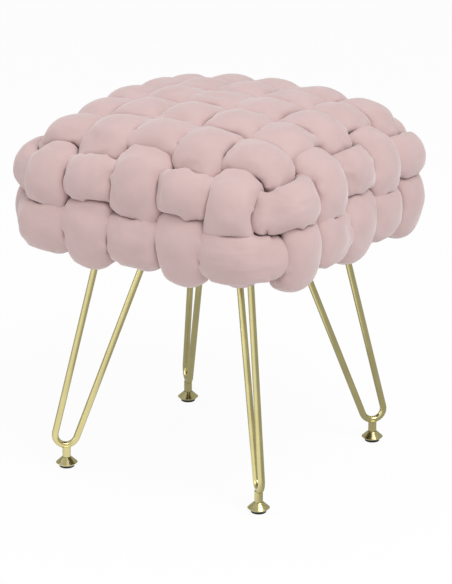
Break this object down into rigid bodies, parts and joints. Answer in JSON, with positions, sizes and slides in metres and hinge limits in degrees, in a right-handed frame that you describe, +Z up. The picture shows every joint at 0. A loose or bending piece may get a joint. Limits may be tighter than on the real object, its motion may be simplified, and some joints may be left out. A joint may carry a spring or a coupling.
{
  "type": "footstool",
  "caption": "Square footstool: a plump seat of interwoven padded velvet tubes on gold hairpin legs with small screw-in levelling feet.",
  "frame": {"origin": "on the floor below the middle of the seat", "axes": "+Z up, +X and +Y square to the seat's sides; the picture's camera is on the -Y, +X side"},
  "size_m": [0.3964, 0.3962, 0.45],
  "materials": {
    "velvet": "short-pile velvet, pale dusty pink",
    "foam": "open-cell upholstery foam",
    "plywood": "raw plywood",
    "dust_cloth": "black non-woven cloth",
    "gold_steel": "satin gold-coated steel",
    "zinc_steel": "zinc-plated steel",
    "black_plastic": "matt black moulded plastic"
  },
  "bodies": {
    "stool": {"warp_tube_1": "velvet", "warp_tube_2": "velvet", "warp_tube_3": "velvet", "warp_tube_4": "velvet", "warp_tube_5": "velvet", "weft_tube_1": "velvet", "weft_tube_2": "velvet", "weft_tube_3": "velvet", "weft_tube_4": "velvet", "weft_tube_5": "velvet", "upper_ring_tube": "velvet", "lower_ring_tube": "velvet", "base_board": "plywood", "dust_cover": "dust_cloth", "foam_core": "foam", "leg_screws": "zinc_steel", "tee_nuts": "zinc_steel", "tube_staples": "zinc_steel", "cover_staples": "zinc_steel", "leg_rod_back_right": "gold_steel", "leg_plate_back_right": "gold_steel", "foot_sleeve_back_right": "gold_steel", "leg_rod_back_left": "gold_steel", "leg_plate_back_left": "gold_steel", "foot_sleeve_back_left": "gold_steel", "leg_rod_front_left": "gold_steel", "leg_plate_front_left": "gold_steel", "foot_sleeve_front_left": "gold_steel", "leg_rod_front_right": "gold_steel", "leg_plate_front_right": "gold_steel", "foot_sleeve_front_right": "gold_steel"},
    "pad_back_right": {"foot_pad_back_right": "black_plastic"},
    "disc_back_right": {"foot_disc_back_right": "gold_steel", "foot_stud_back_right": "zinc_steel"},
    "pad_back_left": {"foot_pad_back_left": "black_plastic"},
    "disc_back_left": {"foot_disc_back_left": "gold_steel", "foot_stud_back_left": "zinc_steel"},
    "pad_front_left": {"foot_pad_front_left": "black_plastic"},
    "disc_front_left": {"foot_disc_front_left": "gold_steel", "foot_stud_front_left": "zinc_steel"},
    "pad_front_right": {"foot_pad_front_right": "black_plastic"},
    "disc_front_right": {"foot_disc_front_right": "gold_steel", "foot_stud_front_right": "zinc_steel"}
  },
  "joints": [
    {"name": "foot_out_back_right", "type": "slide", "parent": "stool", "child": "pad_back_right", "axis": [0, 0, -1], "range_m": [0, 0.005]},
    {"name": "foot_turn_back_right", "type": "hinge", "parent": "pad_back_right", "child": "disc_back_right", "pos_m": [0.135, 0.135, 0.006], "axis": [0, 0, -1], "range_deg": [0, 1800]},
    {"name": "foot_out_back_left", "type": "slide", "parent": "stool", "child": "pad_back_left", "axis": [0, 0, -1], "range_m": [0, 0.005]},
    {"name": "foot_turn_back_left", "type": "hinge", "parent": "pad_back_left", "child": "disc_back_left", "pos_m": [-0.135, 0.135, 0.006], "axis": [0, 0, -1], "range_deg": [0, 1800]},
    {"name": "foot_out_front_left", "type": "slide", "parent": "stool", "child": "pad_front_left", "axis": [0, 0, -1], "range_m": [0, 0.005]},
    {"name": "foot_turn_front_left", "type": "hinge", "parent": "pad_front_left", "child": "disc_front_left", "pos_m": [-0.135, -0.135, 0.006], "axis": [0, 0, -1], "range_deg": [0, 1800]},
    {"name": "foot_out_front_right", "type": "slide", "parent": "stool", "child": "pad_front_right", "axis": [0, 0, -1], "range_m": [0, 0.005]},
    {"name": "foot_turn_front_right", "type": "hinge", "parent": "pad_front_right", "child": "disc_front_right", "pos_m": [0.135, -0.135, 0.006], "axis": [0, 0, -1], "range_deg": [0, 1800]}
  ],
  "couplings": [
    {"joint": "foot_out_back_right", "follows": "foot_turn_back_right", "m_per_rad": 0.00015915},
    {"joint": "foot_out_back_left", "follows": "foot_turn_back_left", "m_per_rad": 0.00015915},
    {"joint": "foot_out_front_left", "follows": "foot_turn_front_left", "m_per_rad": 0.00015915},
    {"joint": "foot_out_front_right", "follows": "foot_turn_front_right", "m_per_rad": 0.00015915}
  ]
}
